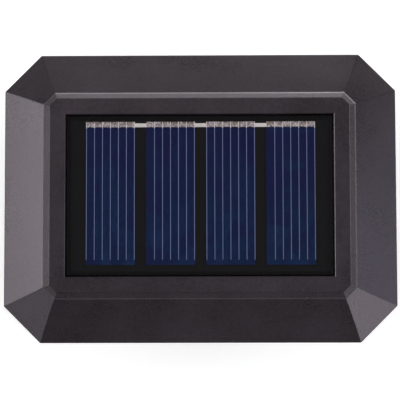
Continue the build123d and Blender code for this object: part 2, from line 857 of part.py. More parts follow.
quarters = [i / 4 for i in range(4 * spring_turns + 1)]
with BuildPart() as battery_spring:
    with BuildLine() as spring_line:
        for here, there in zip(quarters, quarters[1:]):
            two_arcs(spring_point(here), spring_heading(here), spring_point(there), spring_heading(there))
    with BuildSketch(Plane(origin=spring_point(0), z_dir=spring_heading(0))):
        Circle(spring_wire / 2)
    sweep(path=spring_line.line)
keep(battery_spring, "battery_spring")

steps_per_turn = 48
spring_points = [spring_point(i / steps_per_turn) for i in range(spring_turns * steps_per_turn + 1)]
half_turn = steps_per_turn // 2
spring_self_gap = min(
    (there - here).length - spring_wire
    for i, here in enumerate(spring_points)
    for there in spring_points[i + half_turn :]
)
print(f"battery spring: least gap to itself {spring_self_gap:.2f} mm")

# Base: sleeve over the post, ledge that stops on the post's top, deck, plinth and the hinge ears
plinth_inner = grow(plinth_outline, -plinth_wall)
ear_xs = [
    side * (knuckle_x + step * (knuckle_length / 2 + knuckle_gap + ear_thickness / 2))
    for side in (-1, 1)
    for step in (-1, 1)
]
with BuildPart() as base_sleeve:
    with BuildSketch():
        RectangleRounded(
            sleeve_length + 2 * bead_proud, sleeve_width + 2 * bead_proud, sleeve_corner + bead_proud
        )
    extrude(amount=bead_height)
    fillet(base_sleeve.faces().sort_by(Axis.Z)[-1].edges(), bead_radius)
    with BuildSketch():
        RectangleRounded(sleeve_length, sleeve_width, sleeve_corner)
    extrude(amount=deck_top_z)
    with BuildSketch(level(plinth_foot_z)):
        cut_cornered(plinth_outline)
    extrude(amount=plinth_top_z - plinth_foot_z)
    chamfer(base_sleeve.faces().filter_by(Axis.Z).sort_by(Axis.Z)[-1].edges(), plinth_edge)
    with BuildSketch(level(plinth_foot_z)):
        cut_cornered(plinth_inner)
        RectangleRounded(sleeve_length, sleeve_width, sleeve_corner, mode=Mode.SUBTRACT)
        with GridLocations(gusset_pitch, 0, 3, 1):
            Rectangle(gusset, plinth_outline[1], mode=Mode.SUBTRACT)
        Rectangle(plinth_outline[0], gusset, mode=Mode.SUBTRACT)
    extrude(amount=deck_under_z - plinth_foot_z, mode=Mode.SUBTRACT)
    with BuildSketch():
        RectangleRounded(socket_length, socket_width, post_corner)
    extrude(amount=seat_z, mode=Mode.SUBTRACT)
    with BuildSketch(level(seat_z)):
        RectangleRounded(recess_length, recess_width, post_corner)
    extrude(amount=deck_recess, mode=Mode.SUBTRACT)
    with BuildSketch(level(deck_top_z)):
        cut_cornered(plinth_inner)
    extrude(amount=plinth_lip, mode=Mode.SUBTRACT)
    with BuildSketch(level(deck_under_z)):
        Rectangle(bay_length, bay_width)
        with screw_places():
            Circle(screw_radius + screw_hole_gap)
        with Locations((switch_x, switch_y)):
            Rectangle(slot_length, slot_width)
    extrude(amount=deck_thickness, mode=Mode.SUBTRACT)
    with BuildSketch(level(deck_top_z)):
        with Locations((switch_x, switch_y)):
            with GridLocations(switch_length + 2 * switch_rib_gap + switch_rib, 0, 2, 1):
                Rectangle(switch_rib, switch_width)
    extrude(amount=switch_rib_height)
    for ear_x in ear_xs:
        with BuildSketch(Plane.YZ.offset(ear_x - ear_thickness / 2)):
            with Locations((hinge_y, hinge_z)):
                Circle(knuckle_radius)
                Rectangle(
                    2 * knuckle_radius, deck_under_z - hinge_z, align=(Align.CENTER, Align.MIN)
                )
                Circle(pin_radius + pin_fit, mode=Mode.SUBTRACT)
        extrude(amount=ear_thickness)
    with Locations((0, snap_y, seat_z + snap_nib_height / 2)):
        with GridLocations(recess_length - snap_nib, 0, 2, 1):
            Box(snap_nib, snap_length, snap_nib_height)
    with BuildSketch(Plane.XZ.offset(-sleeve_width / 2)):
        with Locations((0, post_screw_height)):
            with GridLocations(post_screw_spacing, 0, 2, 1):
                Circle(post_screw_radius)
    extrude(amount=sleeve_width, mode=Mode.SUBTRACT)
keep(base_sleeve, "base_sleeve")

# Four long screws: heads under the deck, threads in the roof bosses, with a cross recess in each head
with BuildPart(level(deck_under_z)) as roof_screws:
    with screw_places():
        Cylinder(screw_radius, boss_foot_z + screw_grip - deck_under_z, align=on_floor)
        Cylinder(screw_head_radius, screw_head_height, align=hung)
    with Locations((0, 0, -screw_head_height)):
        with screw_places():
            Box(2 * drive_reach, drive_slot, drive_depth, align=on_floor, mode=Mode.SUBTRACT)
            Box(drive_slot, 2 * drive_reach, drive_depth, align=on_floor, mode=Mode.SUBTRACT)
keep(roof_screws, "roof_screws")

# Battery door: plate, hinge knuckles, cradles that hold the battery up, snap bumps and a grip
knuckle_arm = -door_width / 2 - hinge_y
with BuildPart() as battery_door:
    with BuildSketch(level(door_under_z)):
        RectangleRounded(door_length, door_width, door_corner)
    extrude(amount=door_thickness)
    with GridLocations(2 * knuckle_x, 0, 2, 1):
        with Locations((0, hinge_y, hinge_z)):
            Cylinder(knuckle_radius, knuckle_length, rotation=(0, 90, 0))
        with Locations((0, hinge_y, door_under_z)):
            Box(
                knuckle_length,
                knuckle_arm + door_corner,
                door_thickness,
                align=(Align.CENTER, Align.MIN, Align.MIN),
            )
        with Locations((0, hinge_y, hinge_z)):
            Cylinder(
                pin_radius + pin_clearance, knuckle_length, rotation=(0, 90, 0), mode=Mode.SUBTRACT
            )
    for cradle in (-cradle_x, cradle_x):
        with BuildSketch(Plane.YZ.offset(cradle - cradle_thickness / 2)):
            with Locations((0, door_top_z)):
                Rectangle(
                    2 * cradle_half_width, battery_z - door_top_z, align=(Align.CENTER, Align.MIN)
                )
            with Locations((0, battery_z)):
                Circle(battery_radius + cradle_gap, mode=Mode.SUBTRACT)
        extrude(amount=cradle_thickness)
    with Locations((0, snap_y, door_top_z - snap_bump_height / 2)):
        with GridLocations(door_length + snap_bump, 0, 2, 1):
            Box(snap_bump, snap_length, snap_bump_height)
    with Locations((0, grip_y, door_under_z)):
        with GridLocations(0, grip_pitch, 1, grip_count):
            Box(grip_length, grip_width, grip_height, align=hung)
keep(battery_door, "battery_door")

with BuildPart() as door_seal:
    with BuildSketch(level(door_top_z)):
        seal_length = door_length - 2 * door_margin
        seal_width = door_width - 2 * door_margin
        RectangleRounded(seal_length, seal_width, door_corner)
        RectangleRounded(
            seal_length - 2 * door_seal_width,
            seal_width - 2 * door_seal_width,
            door_corner / 2,
            mode=Mode.SUBTRACT,
        )
    extrude(amount=door_seal_thickness)
keep(door_seal, "door_seal")

pin_length = max(ear_xs) - min(ear_xs) + ear_thickness
with BuildPart() as door_hinge_pin:
    with Locations((0, hinge_y, hinge_z)):
        Cylinder(pin_radius, pin_length, rotation=(0, 90, 0))
keep(door_hinge_pin, "door_hinge_pin")
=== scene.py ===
# %% [markdown]
# # Dressing a solar post light
# This lantern head slips over the top of a fence post: a cut-cornered roof with a small solar module, a
# frosted lens inside a cage, and a sleeve with a battery door under it. The solids come from the packed
# frame, at their real size and in their real places. Here each of them gets its finish, the soft and fine
# pieces are modelled anew, and the picture gets its camera and its light.

# %% Load the frame
import json
import math

import bmesh
import bpy
from mathutils import Matrix, Vector, noise


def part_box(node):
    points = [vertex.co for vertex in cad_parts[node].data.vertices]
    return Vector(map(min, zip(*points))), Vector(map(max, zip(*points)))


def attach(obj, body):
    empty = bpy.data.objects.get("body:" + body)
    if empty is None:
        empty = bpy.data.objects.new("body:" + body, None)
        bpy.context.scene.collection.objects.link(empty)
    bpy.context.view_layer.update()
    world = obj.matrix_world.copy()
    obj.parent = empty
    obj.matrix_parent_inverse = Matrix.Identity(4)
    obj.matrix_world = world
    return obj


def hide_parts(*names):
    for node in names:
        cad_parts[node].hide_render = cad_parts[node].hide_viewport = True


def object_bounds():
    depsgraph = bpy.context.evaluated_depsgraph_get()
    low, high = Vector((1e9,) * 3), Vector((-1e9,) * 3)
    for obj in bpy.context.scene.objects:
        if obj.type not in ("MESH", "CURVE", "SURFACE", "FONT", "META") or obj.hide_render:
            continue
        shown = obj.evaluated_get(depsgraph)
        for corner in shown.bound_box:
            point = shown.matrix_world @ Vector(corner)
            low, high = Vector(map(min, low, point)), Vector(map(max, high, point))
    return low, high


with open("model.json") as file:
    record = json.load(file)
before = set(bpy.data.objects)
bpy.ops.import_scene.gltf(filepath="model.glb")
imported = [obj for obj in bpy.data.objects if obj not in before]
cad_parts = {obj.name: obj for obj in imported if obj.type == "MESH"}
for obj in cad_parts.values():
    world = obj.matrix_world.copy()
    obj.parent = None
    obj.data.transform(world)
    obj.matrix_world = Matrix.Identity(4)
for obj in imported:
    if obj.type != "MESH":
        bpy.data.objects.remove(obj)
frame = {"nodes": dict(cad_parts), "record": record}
cad_low, cad_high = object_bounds()
nodes = frame["nodes"]
mm = 0.001
print(f"{len(nodes)} solids in a box of {[round(side / mm, 1) for side in cad_high - cad_low]} mm")

# %% [markdown]
# ## Camera
# The picture looks down on the roof from a little in front of its middle. A long lens from further away
# would show the eight slopes alike, but the picture's far slopes are foreshortened differently from the
# near ones, so the camera hangs 40 cm above the rim, with the focal length that fits it.

# %% Hang the camera
roof_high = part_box("roof_shell")[1]
camera_rise = 392.8 * mm
camera_front = 29.8 * mm
camera_right = 4.7 * mm
camera_tilt = math.radians(4.13)
camera_lean = math.radians(0.68)
camera_turn = math.radians(-0.12)
sensor_side = 36.0
focal_length = 130.2

camera = bpy.data.objects.new("picture_camera", bpy.data.cameras.new("picture_camera"))
camera.data.sensor_width = sensor_side
camera.data.lens = focal_length
camera.location = (camera_right, -camera_front, roof_high.z + camera_rise)
camera.rotation_euler = (camera_tilt, camera_lean, camera_turn)
bpy.context.collection.objects.link(camera)
bpy.context.scene.camera = camera
print(f"camera {camera.location.z / mm:.0f} mm above the floor")

# %% [markdown]
# ## Wires
# A shader is a web of nodes, and a sum over a surface takes several of them. Written out one by one they
# bury the idea, so a small class holds a node's output and lets Python's own signs add the Math nodes.
# Every other kind of node comes from its one method, node().


# %% Wires for shaders
class Wire:
    """An output socket: arithmetic on it adds Math nodes, and node() adds any other kind of node."""

    def __init__(self, socket):
        self.socket = socket

    def node(self, kind, settings=None, sockets=None, output=0):
        """Add a node to the same web: its settings first, then the values or wires of its sockets."""
        made = self.socket.id_data.nodes.new("ShaderNode" + kind)
        for name, value in (settings or {}).items():
            if name == "stops":
                set_stops(made.color_ramp, value)
            else:
                setattr(made, name, value)
        connect(made, sockets or {})
        return Wire(made.outputs[output])

    def math(self, operation, first, second):
        return self.node("Math", {"operation": operation}, {0: first, 1: second})

    def __add__(self, other):
        return self.math("ADD", self, other)

    def __radd__(self, other):
        return self.math("ADD", other, self)

    def __sub__(self, other):
        return self.math("SUBTRACT", self, other)

    def __rsub__(self, other):
        return self.math("SUBTRACT", other, self)

    def __mul__(self, other):
        return self.math("MULTIPLY", self, other)

    def __rmul__(self, other):
        return self.math("MULTIPLY", other, self)

    def __gt__(self, other):
        return self.math("GREATER_THAN", self, other)

    def __lt__(self, other):
        return self.math("LESS_THAN", self, other)


def connect(node, sockets):
    """Give a node's sockets their values, or join them to wires."""
    for name, value in sockets.items():
        if isinstance(value, Wire):
            node.id_data.links.new(value.socket, node.inputs[name])
        else:
            node.inputs[name].default_value = value


def set_stops(ramp, stops):
    """Give a colour ramp its stops, in order."""
    for _ in range(len(stops) - len(ramp.elements)):
        ramp.elements.new(1.0)
    for element, (position, colour) in zip(ramp.elements, stops):
        element.position = position
        element.color = colour


# %% [markdown]
# ## Colours and textures by name
# Colours are easiest to pick as they look on a screen, from 0 to 255, while shaders count light. One short
# function turns the first into the second. The others name what the finishes below use again and again:
# a plain grey, soft clouds, a mix of two colours by a mask, a mask with a sharper border, a bump of a real
# depth, and the place along one axis.


# %% Helpers for finishes
finishes = {}


def tint(red, green, blue):
    """A colour as it looks on a screen, from 0 to 255, as the light that a shader counts."""
    levels = [level / 255 for level in (red, green, blue)]
    return (*[x / 12.92 if x < 0.04045 else ((x + 0.055) / 1.055) ** 2.4 for x in levels], 1.0)


def grey(level):
    """A grey of that share of light."""
    return (level, level, level, 1.0)


def start_finish(slot):
    """Start the finish of a material slot: its surface node, and a wire with the place on the piece."""
    material = bpy.data.materials.new(slot)
    material.use_nodes = True
    finishes[slot] = material
    tree = material.node_tree
    place = tree.nodes.new("ShaderNodeTexCoord").outputs["Object"]
    return tree.nodes["Principled BSDF"], Wire(place)


def clouds(place, size, detail=3.0, stretch=None):
    """Soft spots of about this size in metres, from 0 to 1. A stretch draws them out along the axes."""
    if stretch:
        place = place.node("Mapping", {}, {"Vector": place, "Scale": stretch})
    return place.node("TexNoise", {}, {"Vector": place, "Scale": 1 / size, "Detail": detail})


def mixed(mask, low, high):
    """One colour where the mask is 0 and another where it is 1."""
    return mask.node("Mix", {"data_type": "RGBA"}, {0: mask, 6: low, 7: high}, output=2)


def sharpened(mask, low, high):
    """Stretch a mask so that it runs from 0 at one level to 1 at another."""
    return mask.node("MapRange", {}, {"Value": mask, "From Min": low, "From Max": high})


def bump(height, depth):
    """A normal for a surface with hills of this depth in metres."""
    return height.node("Bump", {}, {"Height": height, "Strength": 1.0, "Distance": depth}, "Normal")


def along(place, axis):
    """The place along one axis, in metres."""
    return place.node("SeparateXYZ", {}, {"Vector": place}, axis)


# %% [markdown]
# ## Roof plastic
# The roof, cage, sleeve and door are injection moulded in one charcoal plastic with a violet sheen. Steel
# moulds for it are spark eroded, which leaves a grain of about a third of a millimetre that turns a gloss
# into satin. The grain could be displaced into the mesh, but it is finer than the picture's dots, so a bump
# of a hundredth of a millimetre does it. It is deeper in some patches than in others, the colour is mottled
# as moulded plastic is, and a few pale flecks are dust.

# %% Finish the roof plastic
grain_size = 0.34 * mm
pit_size = 0.55 * mm
grain_depth = 0.011 * mm
violet_sheen = (1.0, 0.87, 1.0, 1.0)
surface, place = start_finish("roof_plastic")
flow = clouds(place, 16 * mm, 4.0)
mottle = clouds(place, 0.8 * mm, 2.0)
grain = clouds(place, grain_size, 2.0)
pits = place.node("TexVoronoi", {}, {"Vector": place, "Scale": 1 / pit_size}, "Distance")
patches = sharpened(clouds(place, 9 * mm, 2.0), 0.42, 0.68)
flecks = sharpened(clouds(place, 0.9 * mm, 1.0), 0.70, 0.80)
shade = mixed(sharpened(flow * 0.5 + mottle * 0.5, 0.35, 0.65), tint(35, 31, 34), tint(55, 49, 54))
connect(
    surface,
    {
        "Base Color": mixed(flecks * 0.35, shade, tint(74, 69, 73)),
        "Roughness": 0.22 + 0.08 * flow + 0.05 * grain,
        "IOR": 1.5,
        "Specular Tint": violet_sheen,
        "Normal": bump((grain * 0.6 + pits * 0.4) * (0.4 + patches), grain_depth),
    },
)
print(f"roof plastic: grain {grain_size / mm:.2f} mm, pits {pit_size / mm:.2f} mm")

# %% [markdown]
# ## Window over the cells
# A clear plate closes the module. Glass that bends light would hide the cells from the lamps and fill the
# picture with noise, and a plate this thin bends next to nothing. So light goes straight through a
# Transparent shader, and a Fresnel factor lays a gloss over it, a little blurred by fine scratches. Only the
# outer face gets the gloss, because on the inner face the same factor would throw flat light back and darken
# the cells.

# %% Finish the clear window
clear = grey(0.97)
plastic_ior = 1.5
surface, place = start_finish("clear_window")
tree = finishes["clear_window"].node_tree
scratches = clouds(place, 0.5 * mm, 3.0, stretch=(1.0, 14.0, 1.0))
handling = clouds(place, 9 * mm, 3.0)
through = place.node("BsdfTransparent", {}, {"Color": clear})
blur = 0.05 + 0.05 * scratches + 0.05 * handling
gloss = place.node("BsdfGlossy", {}, {"Color": clear, "Roughness": blur})
edge_on = place.node("Fresnel", {}, {"IOR": plastic_ior})
inner_face = place.node("NewGeometry", {}, {}, "Backfacing")
pane = place.node("MixShader", {}, {0: edge_on * (1 - inner_face), 1: through, 2: gloss})
connect(tree.nodes["Material Output"], {"Surface": pane})
tree.nodes.remove(surface)
print("clear window: gloss over a see-through plate")

# %% [markdown]
# ## Solar cells
# The cells are strips of multicrystalline silicon: a cast block of crystals, sawn flat, each crystal blue or
# indigo by the way it lies. A Voronoi texture draws such crystals, and pushing its coordinates about with a
# noise first gives them the ragged borders of real ones. Fine streaks along the strip are the marks of the
# saw, and the blue gets lighter towards the strip's foot. Behind the window it needs hardly any gloss.

# %% Finish the silicon
crystal_size = 4.6 * mm
sliver_size = 1.5 * mm
border_size = 3 * mm
border_reach = 2.2 * mm
saw_mark = 0.7 * mm
cell_low, cell_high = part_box("solar_cell_1")
surface, place = start_finish("solar_silicon")
push = place.node("TexNoise", {}, {"Vector": place, "Scale": 1 / border_size, "Detail": 2.0}, "Color")
push = place.node("VectorMath", {"operation": "SCALE"}, {0: push, "Scale": border_reach})
pushed = place.node("VectorMath", {"operation": "ADD"}, {0: place, 1: push})
crystals = place.node("TexVoronoi", {}, {"Vector": pushed, "Scale": 1 / crystal_size}, "Color")
lie = crystals.node("SeparateColor", {}, {"Color": crystals}, "Red")
sheen = crystals.node("SeparateColor", {}, {"Color": crystals}, "Green")
slivers = place.node("TexVoronoi", {}, {"Vector": pushed, "Scale": 1 / sliver_size}, "Color")
sliver = slivers.node("SeparateColor", {}, {"Color": slivers}, "Blue")
crystal_colours = [
    (0.0, tint(9, 13, 50)),
    (0.3, tint(13, 18, 65)),
    (0.5, tint(6, 25, 65)),
    (0.7, tint(8, 33, 71)),
    (0.9, tint(16, 41, 82)),
]
foot = sharpened(along(place, "Y"), cell_high.y, cell_low.y)
sawn = sharpened(clouds(place, saw_mark, 2.0, stretch=(1.0, 0.05, 1.0)), 0.3, 0.7)
choice = lie * 0.35 + sliver * 0.15 + sawn * 0.2 + foot * 0.3
crystal = lie.node("ValToRGB", {"stops": crystal_colours}, {"Fac": choice})
connect(
    surface,
    {
        "Base Color": crystal,
        "Roughness": 0.34 + 0.18 * sheen,
        "Specular IOR Level": 0.05,
        "Normal": bump(clouds(place, 0.25 * mm, 2.0), 0.004 * mm),
    },
)
print(f"silicon: crystals of about {crystal_size / mm:.1f} mm")

# %% [markdown]
# ## Printed silver, tinned ribbon and solder
# The collector lines are silver paste, printed and baked: a dull line with ragged edges that the cell turns
# bluish. The ribbon is copper dipped in tin. Where it was soldered down by hand the solder froze in lumps,
# and flux burnt brown on it, most towards its upper border. Metal shows what is round it, and here that is
# mostly the dark above, so all three get little metal and a pale colour, which is partly the dull white of
# oxide and partly a painted reflection of the light that bright metal would mirror.

# %% Finish the silver and the ribbon
# The silver's pale colour is partly its own and partly a painted reflection, in place of real metal.
surface, place = start_finish("silver_paste")
beads = clouds(place, 0.12 * mm, 2.0)
connect(
    surface,
    {
        "Base Color": mixed(beads, tint(84, 96, 140), tint(116, 128, 170)),
        "Metallic": 0.1,
        "Roughness": 0.5 + 0.2 * beads,
        "Normal": bump(beads, 0.01 * mm),
    },
)

# The ribbon's pale white is partly tin oxide and partly a painted reflection, in place of real metal.
surface, place = start_finish("tinned_ribbon")
drawn = clouds(place, 0.5 * mm, 3.0, stretch=(0.15, 1.0, 1.0))
connect(
    surface,
    {
        "Base Color": mixed(drawn, tint(218, 211, 210), tint(228, 222, 220)),
        "Metallic": 0.05,
        "Roughness": 0.3 + 0.15 * drawn,
        "Normal": bump(drawn, 0.008 * mm),
    },
)
print("silver paste and tinned ribbon")

# %% Finish the solder
burn_start = 0.5 * mm
burn_end = 0.3 * mm
flux_brown = tint(104, 79, 68)
surface, place = start_finish("solder")
ribbon_low, ribbon_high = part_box("tab_ribbon")
oxide = sharpened(clouds(place, 0.45 * mm, 4.0), 0.40, 0.60)
burnt = sharpened(along(place, "Y"), ribbon_low.y + burn_start, ribbon_high.y + burn_end)
flux = sharpened(clouds(place, 1.6 * mm, 3.0), 0.44, 0.60)
# The pale tin colour is partly oxide and partly a painted reflection, in place of real metal.
tin = mixed(oxide, tint(206, 195, 202), tint(126, 116, 121))
connect(
    surface,
    {
        "Base Color": mixed(flux * (0.25 + 0.55 * burnt) + 0.15 * burnt, tin, flux_brown),
        "Metallic": 0.05 + 0.1 * oxide,
        "Roughness": 0.36 + 0.25 * oxide,
        "Normal": bump(oxide, 0.02 * mm),
    },
)
print("solder with burnt flux")

# %% [markdown]
# ## Board, foam and rubber
# Behind the cells lies a board with black lacquer, on a ring of foam. Rubber strips seal the lens and the
# battery door. All three are near black, and only their skin tells them apart: the lacquer has a fine weave
# under it, the foam is all pores, and the rubber has a pale bloom. The gloss over the board is the window's,
# so the lacquer has none of its own.

# %% Finish the board, the foam and the rubber
surface, place = start_finish("panel_black")
weave_pitch = 0.9 * mm
wave_pitch_at_scale_1 = 0.31
threads = {"Vector": place, "Scale": wave_pitch_at_scale_1 / weave_pitch}
warp = place.node("TexWave", {"bands_direction": "X"}, threads)
weft = place.node("TexWave", {"bands_direction": "Y"}, threads)
weave = warp * 0.5 + weft * 0.5
connect(
    surface,
    {
        "Base Color": mixed(clouds(place, 6 * mm), tint(21, 20, 22), tint(25, 23, 26)),
        "Roughness": 0.42 + 0.12 * weave,
        "Specular IOR Level": 0.0,
        "Normal": bump(weave, 0.002 * mm),
    },
)

surface, place = start_finish("foam")
pore_size = 0.5 * mm
# Each pore is painted darker towards its middle, where it is deepest: painted shade in the pits.
pores = place.node("TexVoronoi", {}, {"Vector": place, "Scale": 1 / pore_size}, "Distance")
connect(
    surface,
    {
        "Base Color": mixed(pores, tint(30, 30, 32), tint(66, 66, 68)),
        "Roughness": 0.85 + 0.1 * pores,
        "Normal": bump(pores, 0.15 * mm),
    },
)

surface, place = start_finish("seal_rubber")
bloom = sharpened(clouds(place, 3 * mm, 4.0), 0.45, 0.75)
connect(
    surface,
    {
        "Base Color": mixed(bloom, tint(26, 26, 27), tint(48, 48, 49)),
        "Roughness": 0.6 + 0.2 * bloom,
        "Normal": bump(clouds(place, 0.2 * mm), 0.012 * mm),
    },
)
print("black lacquer, foam and rubber")

# %% [markdown]
# ## Frosted lens and white reflectors
# The lens is an acrylic band, sand-blasted so that the lamps don't dazzle. Real frosting scatters light
# inside the wall. A plain share of see-through over a milky surface looks the same from outside, renders
# without noise and survives an export. The reflectors and the core are plain white moulded plastic.

# %% Finish the lens and the white plastic
lens_solidity = 0.62
surface, place = start_finish("frosted_lens")
frost = clouds(place, 0.16 * mm, 2.0)
milk = clouds(place, 7 * mm, 3.0)
connect(
    surface,
    {
        "Base Color": mixed(milk, tint(226, 228, 226), tint(238, 239, 236)),
        "Roughness": 0.38 + 0.14 * frost,
        "IOR": 1.49,
        "Alpha": lens_solidity,
        "Normal": bump(frost, 0.008 * mm),
    },
)

surface, place = start_finish("white_plastic")
flow = clouds(place, 12 * mm, 4.0)
connect(
    surface,
    {
        "Base Color": mixed(flow, tint(222, 222, 216), tint(234, 234, 229)),
        "Roughness": 0.36 + 0.12 * flow,
        "Normal": bump(clouds(place, 0.5 * mm), 0.01 * mm),
    },
)
print("frosted lens and white plastic")

# %% [markdown]
# ## Electrical finishes
# Inside are a green board with its copper runs, black and ferrite parts, clear lamp resin, two colours of
# insulation, a battery in a shrink sleeve and plated steel. Most are seen only when the door is open, yet
# each has its own skin, so the part can be taken to pieces. The sleeve's bands follow the battery's length.

# %% Finish the board and its parts
run_spacing = 6 * mm
run_width_share = 0.06
resin_solidity = 0.45
surface, place = start_finish("circuit_green")
layout = {"Vector": place, "Scale": 1 / run_spacing, "Mortar Size": run_width_share}
runs = place.node("TexBrick", {"offset": 0.35}, layout, "Fac")
connect(
    surface,
    {
        "Base Color": mixed(runs, tint(18, 84, 48), tint(52, 128, 66)),
        "Roughness": 0.28 + 0.12 * clouds(place, 2 * mm),
        "Normal": bump(runs, 0.03 * mm),
    },
)


def plain_finish(slot, low, high, roughness, depth, size=0.5 * mm):
    """A moulded or drawn skin of one colour, cloudy between two shades, with a fine bump."""
    surface, place = start_finish(slot)
    cloud = clouds(place, 5 * mm, 3.0)
    connect(
        surface,
        {
            "Base Color": mixed(cloud, low, high),
            "Roughness": roughness + 0.12 * cloud,
            "Normal": bump(clouds(place, size), depth),
        },
    )
    return surface


plain_finish("chip_black", tint(26, 26, 28), tint(36, 36, 38), 0.55, 0.02 * mm)
plain_finish("ferrite", tint(50, 48, 47), tint(66, 63, 60), 0.6, 0.03 * mm)
plain_finish("switch_black", tint(24, 24, 25), tint(33, 33, 34), 0.4, 0.01 * mm)
plain_finish("knob_white", tint(224, 223, 216), tint(236, 235, 230), 0.35, 0.01 * mm)
plain_finish("lead_red", tint(166, 24, 22), tint(186, 34, 28), 0.38, 0.01 * mm)
plain_finish("lead_black", tint(20, 20, 21), tint(30, 30, 31), 0.38, 0.01 * mm)
resin = plain_finish("lamp_resin", tint(232, 230, 216), tint(242, 240, 228), 0.08, 0.002 * mm)
connect(resin, {"Alpha": resin_solidity})
print("board, parts, leads and lamp resin")

# %% Finish the battery and the steel
battery_low, battery_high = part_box("battery_cell")
foot_length = 0.4 * mm
cap_length = 2.6 * mm
band_length = 9.0 * mm
surface, place = start_finish("battery_sleeve")
length_at = along(place, "X")
wrinkles = clouds(place, 1.2 * mm, 3.0, stretch=(0.2, 1.0, 1.0))
bare = (length_at < battery_low.x + foot_length) + (length_at > battery_high.x - cap_length)
band = length_at > battery_high.x - cap_length - band_length
sleeve = mixed(band, tint(28, 92, 64), tint(196, 190, 176))
connect(
    surface,
    {
        "Base Color": mixed(bare, sleeve, tint(186, 184, 178)),
        "Metallic": bare,
        "Roughness": 0.24 + 0.14 * wrinkles,
        "Normal": bump(wrinkles, 0.03 * mm),
    },
)

surface, place = start_finish("plated_steel")
brushed = clouds(place, 0.3 * mm, 3.0, stretch=(0.1, 1.0, 1.0))
stain = sharpened(clouds(place, 3 * mm, 3.0), 0.55, 0.8)
connect(
    surface,
    {
        "Base Color": mixed(stain, tint(196, 194, 188), tint(164, 160, 152)),
        "Metallic": 1.0,
        "Roughness": 0.22 + 0.2 * brushed + 0.15 * stain,
        "Normal": bump(brushed, 0.006 * mm),
    },
)
print("battery sleeve and plated steel")

# %% [markdown]
# ## Dressing the solids
# Each solid came in with a plain stand-in for its material. The record says which slot that is, so one loop
# gives every solid the finish of its slot, and nothing about the solids themselves changes.

# %% Give each solid its finish
slot_of = {row["node"]: row["material_slot"] for row in frame["record"]["subparts"]}
for name, solid in nodes.items():
    solid.data.materials.clear()
    solid.data.materials.append(finishes[slot_of[name]])
print(f"{len(slot_of)} solids dressed in {len(finishes)} finishes")

# %% [markdown]
# ## New pieces
# Pieces that are modelled here start as a bmesh, Blender's mesh for editing in code. This function turns one
# into an object that rides on a body, wears a finish and may stand for a solid, which is then hidden.


# %% A piece from a bmesh
def add_piece(name, bm, slot, replaced=(), body="light", smooth_below=40.0, finish=None):
    """Close a bmesh into a piece with its finish, its body and the solids that it stands for."""
    bmesh.ops.recalc_face_normals(bm, faces=bm.faces)
    mesh = bpy.data.meshes.new(name)
    bm.to_mesh(mesh)
    bm.free()
    mesh.shade_smooth()
    mesh.set_sharp_from_angle(angle=math.radians(smooth_below))
    mesh.materials.append(finishes[finish or slot])
    piece = bpy.data.objects.new(name, mesh)
    bpy.context.collection.objects.link(piece)
    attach(piece, body)
    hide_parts(*replaced)
    print(f"{name}: {len(mesh.polygons)} faces")


def add_bar(bm, low, high, edge):
    """A bar with rounded edges between two corners."""
    shape = Matrix.Translation((low + high) / 2) @ Matrix.Diagonal((*(high - low), 1.0))
    made = bmesh.ops.create_cube(bm, size=1.0, matrix=shape)
    edges = list({e for v in made["verts"] for e in v.link_edges})
    bmesh.ops.bevel(
        bm, geom=edges, offset=edge, affect="EDGES", segments=2, profile=0.5, material=-1
    )


# %% [markdown]
# ## Soldered ribbon
# Across the upper ends of the cells runs the ribbon that joins them. On each cell it lies under a bead of
# solder that froze rough, and between the cells it is smooth and a little narrower. A bump alone would leave
# the bead flat from the side, so a fine grid is pushed up and down by a noise and its border is drawn down
# to the cell. The printed collector lines run on under it, and their ends stand out of the solder as ridges.

# %% Solder on each cell
cell_boxes = [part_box(f"solar_cell_{number}") for number in (1, 2, 3, 4)]
solder_rise = 0.24 * mm
solder_lump = 0.10 * mm
lump_size = 0.55 * mm
fine_lump_size = 0.4 * lump_size
fine_lump_share = 0.5
border_share = 0.45
noise_shift = 7.0
ragged = 0.08 * mm
solder_back = 0.29 * mm
solder_spare = 0.2 * mm
grid_step = 0.16 * mm
solder_smooth_below = 70.0

solder = bmesh.new()
solder_width = ribbon_high.y - ribbon_low.y + solder_spare
for cell_low, cell_high in cell_boxes:
    length = cell_high.x - cell_low.x
    middle_y = (ribbon_low.y + ribbon_high.y) / 2 + solder_back
    middle = Vector(((cell_low.x + cell_high.x) / 2, middle_y, ribbon_low.z))
    made = bmesh.ops.create_grid(
        solder, x_segments=round(length / grid_step), y_segments=round(solder_width / grid_step), size=0.5
    )
    bmesh.ops.scale(solder, vec=(length - 2 * ragged, solder_width - ragged, 1.0), verts=made["verts"])
    bmesh.ops.translate(solder, vec=middle, verts=made["verts"])
rims = [v for v in solder.verts if v.is_boundary]
for v in solder.verts:
    lump = noise.noise(v.co / lump_size) + fine_lump_share * noise.noise(v.co / fine_lump_size)
    v.co.z += solder_rise * (border_share if v.is_boundary else 1.0) + solder_lump * lump
for v in rims:
    v.co.x += ragged * noise.noise(v.co / lump_size + Vector((noise_shift, 0.0, 0.0)))
    v.co.y += ragged * noise.noise(v.co / lump_size + Vector((0.0, noise_shift, 0.0)))
walls = bmesh.ops.extrude_edge_only(solder, edges=[e for e in solder.edges if e.is_boundary])
for v in (x for x in walls["geom"] if isinstance(x, bmesh.types.BMVert)):
    v.co.z = ribbon_low.z
bmesh.ops.holes_fill(solder, edges=[e for e in solder.edges if e.is_boundary])
add_piece(
    "solder_beads", solder, "tinned_ribbon", ["tab_ribbon"], smooth_below=solder_smooth_below, finish="solder"
)

